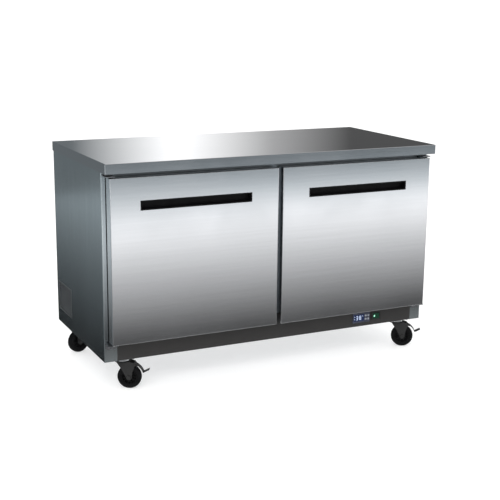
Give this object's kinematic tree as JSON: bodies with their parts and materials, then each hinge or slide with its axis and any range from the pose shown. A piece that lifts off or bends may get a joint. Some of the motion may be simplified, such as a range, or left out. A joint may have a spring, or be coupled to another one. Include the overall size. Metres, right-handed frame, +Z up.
{
  "type": "undercounter refrigerator",
  "caption": "Wide two-door undercounter refrigerator with a stainless worktop, recessed pulls, wire shelves, a side vent and swivel castors, two of them braked.",
  "frame": {"origin": "on the floor under the centre of the worktop", "axes": "+X to the right for someone facing the doors, +Y to the rear, +Z up"},
  "size_m": [1.534, 0.725, 0.947],
  "materials": {
    "stainless": "horizontally brushed stainless sheet",
    "stainless_inner": "satin stainless liner sheet",
    "wood_core": "plain panel core, never seen",
    "galvanised": "galvanised sheet",
    "dark_rail": "dark satin painted steel",
    "foam": null,
    "dark_plastic": "black moulded plastic, fine texture",
    "display": "translucent display window",
    "key_plastic": "grey keypad rubber",
    "lit_rocker": "translucent green rocker, lit",
    "gasket": "soft magnetic door gasket",
    "hinge_steel": "bright steel",
    "zinc": "zinc-plated steel",
    "castor_black": "black painted pressed steel",
    "wheel_rubber": "black rubber tread and hub",
    "coated_wire": "light grey epoxy-coated wire",
    "compressor_black": "black gloss enamel",
    "coil_metal": "bare fins and tubes",
    "copper": null
  },
  "bodies": {
    "root": {"worktop_skin": "stainless", "side_panel_left": "stainless", "side_panel_right": "stainless", "front_frame": "stainless", "evaporator_cover": "stainless", "inner_liner": "stainless_inner", "worktop_core": "wood_core", "base_pan": "galvanised", "rear_panels": "galvanised", "condensing_unit_base": "galvanised", "front_lower_rail": "dark_rail", "cabinet_foam": "foam", "side_louvre": "dark_plastic", "cord_gland": "dark_plastic", "power_switch": "dark_plastic", "controller": "dark_plastic", "controller_display": "display", "hinge_brackets": "hinge_steel", "shelf_supports": "hinge_steel", "screws": "hinge_steel", "castor_plates": "zinc", "compressor_mounts": "wheel_rubber", "compressor": "compressor_black", "fan_motors": "compressor_black", "evaporator_coil": "coil_metal", "condenser_coil": "coil_metal", "refrigerant_lines": "copper"},
    "door_left": {"door_skin_left": "stainless", "door_liner_left": "stainless_inner", "door_pull_left": "dark_plastic", "door_foam_left": "foam", "door_gasket_left": "gasket", "hinge_bushes_left": "hinge_steel"},
    "door_right": {"door_skin_right": "stainless", "door_liner_right": "stainless_inner", "door_pull_right": "dark_plastic", "door_foam_right": "foam", "door_gasket_right": "gasket", "hinge_bushes_right": "hinge_steel"},
    "castor_fl": {"castor_fork_fl": "castor_black"},
    "wheel_fl": {"castor_wheel_fl": "wheel_rubber"},
    "castor_fr": {"castor_fork_fr": "castor_black"},
    "wheel_fr": {"castor_wheel_fr": "wheel_rubber"},
    "castor_rl": {"castor_fork_rl": "castor_black"},
    "wheel_rl": {"castor_wheel_rl": "wheel_rubber"},
    "castor_rr": {"castor_fork_rr": "castor_black"},
    "wheel_rr": {"castor_wheel_rr": "wheel_rubber"},
    "brake_fl": {"castor_brake_fl": "hinge_steel"},
    "brake_fr": {"castor_brake_fr": "hinge_steel"},
    "shelf_left_lower": {"shelf_left_lower": "coated_wire"},
    "shelf_left_upper": {"shelf_left_upper": "coated_wire"},
    "shelf_right_lower": {"shelf_right_lower": "coated_wire"},
    "shelf_right_upper": {"shelf_right_upper": "coated_wire"},
    "evaporator_fan": {"evaporator_fan": "dark_plastic"},
    "condenser_fan": {"condenser_fan": "dark_plastic"},
    "key_set": {"controller_key_set": "key_plastic"},
    "key_up": {"controller_key_up": "key_plastic"},
    "key_power": {"controller_key_power": "key_plastic"},
    "key_down": {"controller_key_down": "key_plastic"},
    "rocker": {"power_switch_rocker": "lit_rocker"}
  },
  "joints": [
    {"name": "door_left_hinge", "type": "hinge", "parent": "root", "child": "door_left", "pos_m": [-0.73, -0.33, 0.535], "axis": [0, 0, -1], "range_deg": [0, 110], "stiffness_Nm_per_rad": 1.2, "springref_deg": -5.73},
    {"name": "door_right_hinge", "type": "hinge", "parent": "root", "child": "door_right", "pos_m": [0.73, -0.33, 0.535], "axis": [0, 0, 1], "range_deg": [0, 110], "stiffness_Nm_per_rad": 1.2, "springref_deg": -5.73},
    {"name": "castor_fl_swivel", "type": "hinge", "parent": "root", "child": "castor_fl", "pos_m": [-0.668, -0.25, 0.1], "axis": [0, 0, 1], "continuous": true},
    {"name": "wheel_fl_spin", "type": "hinge", "parent": "castor_fl", "child": "wheel_fl", "pos_m": [-0.64202, -0.265, 0.05], "axis": [0.5, 0.866, 0], "continuous": true},
    {"name": "brake_fl_pedal", "type": "hinge", "parent": "castor_fl", "child": "brake_fl", "pos_m": [-0.62297, -0.276, 0.104], "axis": [0.5, 0.866, 0], "range_deg": [0, 10.5]},
    {"name": "castor_fr_swivel", "type": "hinge", "parent": "root", "child": "castor_fr", "pos_m": [0.668, -0.25, 0.1], "axis": [0, 0, 1], "continuous": true},
    {"name": "wheel_fr_spin", "type": "hinge", "parent": "castor_fr", "child": "wheel_fr", "pos_m": [0.69398, -0.265, 0.05], "axis": [0.5, 0.866, 0], "continuous": true},
    {"name": "brake_fr_pedal", "type": "hinge", "parent": "castor_fr", "child": "brake_fr", "pos_m": [0.71303, -0.276, 0.104], "axis": [0.5, 0.866, 0], "range_deg": [0, 10.5]},
    {"name": "castor_rl_swivel", "type": "hinge", "parent": "root", "child": "castor_rl", "pos_m": [-0.668, 0.272, 0.1], "axis": [0, 0, 1], "continuous": true},
    {"name": "wheel_rl_spin", "type": "hinge", "parent": "castor_rl", "child": "wheel_rl", "pos_m": [-0.69698, 0.26423, 0.05], "axis": [0.2588, -0.9659, 0], "continuous": true},
    {"name": "castor_rr_swivel", "type": "hinge", "parent": "root", "child": "castor_rr", "pos_m": [0.668, 0.272, 0.1], "axis": [0, 0, 1], "continuous": true},
    {"name": "wheel_rr_spin", "type": "hinge", "parent": "castor_rr", "child": "wheel_rr", "pos_m": [0.63846, 0.26679, 0.05], "axis": [0.1736, -0.9848, 0], "continuous": true},
    {"name": "shelf_left_lower_lift", "type": "slide", "parent": "root", "child": "shelf_left_lower", "axis": [0, 0, 1], "range_m": [0, 0.1]},
    {"name": "shelf_left_upper_lift", "type": "slide", "parent": "root", "child": "shelf_left_upper", "axis": [0, 0, 1], "range_m": [0, 0.1]},
    {"name": "shelf_right_lower_lift", "type": "slide", "parent": "root", "child": "shelf_right_lower", "axis": [0, 0, 1], "range_m": [0, 0.1]},
    {"name": "shelf_right_upper_lift", "type": "slide", "parent": "root", "child": "shelf_right_upper", "axis": [0, 0, 1], "range_m": [0, 0.1]},
    {"name": "evaporator_fan_spin", "type": "hinge", "parent": "root", "child": "evaporator_fan", "pos_m": [0, 0.208, 0.7035], "axis": [0, 1, 0], "continuous": true},
    {"name": "condenser_fan_spin", "type": "hinge", "parent": "root", "child": "condenser_fan", "pos_m": [-0.672, 0.24, 0.253], "axis": [1, 0, 0], "continuous": true},
    {"name": "key_set_press", "type": "slide", "parent": "root", "child": "key_set", "axis": [0, 1, 0], "range_m": [0, 0.0008], "stiffness_N_per_m": 600, "springref_m": -0.0003},
    {"name": "key_up_press", "type": "slide", "parent": "root", "child": "key_up", "axis": [0, 1, 0], "range_m": [0, 0.0008], "stiffness_N_per_m": 600, "springref_m": -0.0003},
    {"name": "key_power_press", "type": "slide", "parent": "root", "child": "key_power", "axis": [0, 1, 0], "range_m": [0, 0.0008], "stiffness_N_per_m": 600, "springref_m": -0.0003},
    {"name": "key_down_press", "type": "slide", "parent": "root", "child": "key_down", "axis": [0, 1, 0], "range_m": [0, 0.0008], "stiffness_N_per_m": 600, "springref_m": -0.0003},
    {"name": "rocker_tip", "type": "hinge", "parent": "root", "child": "rocker", "pos_m": [0.522, -0.2965, 0.176], "axis": [0, 0, 1], "range_deg": [0, 14]}
  ]
}
